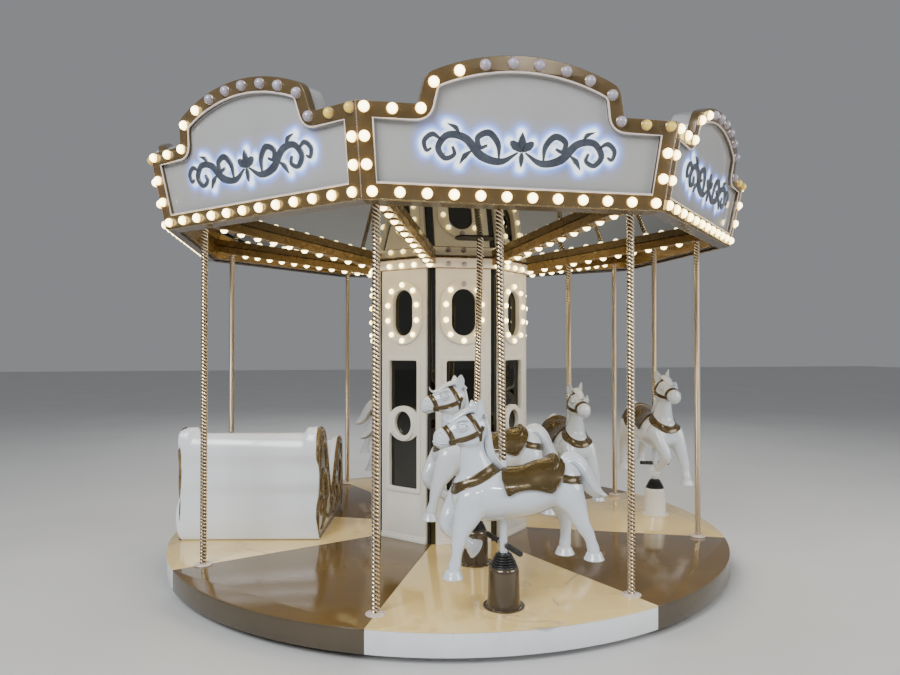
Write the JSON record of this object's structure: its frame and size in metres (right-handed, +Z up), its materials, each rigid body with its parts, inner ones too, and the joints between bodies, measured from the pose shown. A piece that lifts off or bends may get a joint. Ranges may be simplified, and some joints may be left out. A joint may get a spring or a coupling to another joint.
{
  "type": "fairground carousel",
  "caption": "Round fairground carousel with a turning deck, rising horses, a chariot, a mirrored column and a lit canopy.",
  "frame": {"origin": "on the floor, on the axis the carousel turns about, under the base hub", "axes": "+Z up along the turning axis; the front rounding board faces -Y; +X to the right seen from the front"},
  "size_m": [4.306, 4.306, 3.0937],
  "materials": {
    "cream_marble": "polished cream marble-pattern sheet",
    "brown_gloss": "polished taupe brown fibreglass",
    "white_gloss": "white gloss lacquer on fibreglass",
    "board_lacquer": "white gloss fibreglass with a bronze border",
    "horse_lacquer": "white gloss lacquer with gold-brown tack",
    "bronze_paint": "glossy bronze brown paint",
    "scroll_gold": "white fibreglass with bronze-gold carved scrolls",
    "rope_gold": "twisted tube, rose gold plating",
    "mirror_sheet": "tinted mirror",
    "steel_frame": "black painted steel",
    "rubber_boot": "moulded bellows",
    "lamp_lit": "lit globe lamp",
    "lamp_dark": "unlit frosted globe lamp",
    "ornament_dark": "dark ornament, lit from behind",
    "glow_blue": "blue-white light behind the ornament"
  },
  "bodies": {
    "base": {"base_frame": "steel_frame", "base_beam_front": "steel_frame", "base_beam_rear": "steel_frame"},
    "turntable": {"column_core": "mirror_sheet", "ceiling": "mirror_sheet", "roof_frame": "bronze_paint", "deck_cream_1": "cream_marble", "deck_brown_1": "brown_gloss", "deck_cream_2": "cream_marble", "deck_brown_2": "brown_gloss", "deck_cream_3": "cream_marble", "deck_brown_3": "brown_gloss", "deck_cream_4": "cream_marble", "deck_brown_4": "brown_gloss", "post_1": "rope_gold", "column_panel_1": "white_gloss", "rounding_board_1": "board_lacquer", "post_2": "rope_gold", "column_panel_2": "white_gloss", "rounding_board_2": "board_lacquer", "post_3": "rope_gold", "column_panel_3": "white_gloss", "rounding_board_3": "board_lacquer", "post_4": "rope_gold", "column_panel_4": "white_gloss", "rounding_board_4": "board_lacquer", "post_5": "rope_gold", "column_panel_5": "white_gloss", "rounding_board_5": "board_lacquer", "post_6": "rope_gold", "column_panel_6": "white_gloss", "rounding_board_6": "board_lacquer", "post_7": "rope_gold", "column_panel_7": "white_gloss", "rounding_board_7": "board_lacquer", "post_8": "rope_gold", "column_panel_8": "white_gloss", "rounding_board_8": "board_lacquer", "pedestal_1": "bronze_paint", "pedestal_2": "bronze_paint", "pedestal_3": "white_gloss", "pedestal_4": "white_gloss", "pedestal_5": "white_gloss", "pedestal_6": "white_gloss", "chariot_shell": "white_gloss", "chariot_end_outer": "scroll_gold", "chariot_end_inner": "scroll_gold"},
    "rider_1": {"horse_1": "horse_lacquer", "pole_1": "rope_gold"},
    "rider_2": {"horse_2": "horse_lacquer", "pole_2": "rope_gold"},
    "rider_3": {"horse_3": "horse_lacquer", "pole_3": "rope_gold"},
    "rider_4": {"horse_4": "horse_lacquer", "pole_4": "rope_gold"},
    "rider_5": {"horse_5": "horse_lacquer", "pole_5": "rope_gold"},
    "rider_6": {"horse_6": "horse_lacquer", "pole_6": "rope_gold"}
  },
  "joints": [
    {"name": "carousel_spin", "type": "hinge", "parent": "base", "child": "turntable", "pos_m": [0, 0, 0.15], "axis": [0, 0, -1], "continuous": true},
    {"name": "horse_1_lift", "type": "slide", "parent": "turntable", "child": "rider_1", "axis": [-0.0122, 0.0002, 0.9999], "range_m": [-0.019, 0.106]},
    {"name": "horse_2_lift", "type": "slide", "parent": "turntable", "child": "rider_2", "axis": [0.0209, -0.0004, 0.9998], "range_m": [-0.112, 0.013]},
    {"name": "horse_3_lift", "type": "slide", "parent": "turntable", "child": "rider_3", "axis": [0, 0, 1], "range_m": [-0.107, 0.018]},
    {"name": "horse_4_lift", "type": "slide", "parent": "turntable", "child": "rider_4", "axis": [0, 0, 1], "range_m": [-0.009, 0.116]},
    {"name": "horse_5_lift", "type": "slide", "parent": "turntable", "child": "rider_5", "axis": [0, 0, 1], "range_m": [-0.05, 0.075]},
    {"name": "horse_6_lift", "type": "slide", "parent": "turntable", "child": "rider_6", "axis": [0, 0, 1], "range_m": [-0.004, 0.121]}
  ]
}
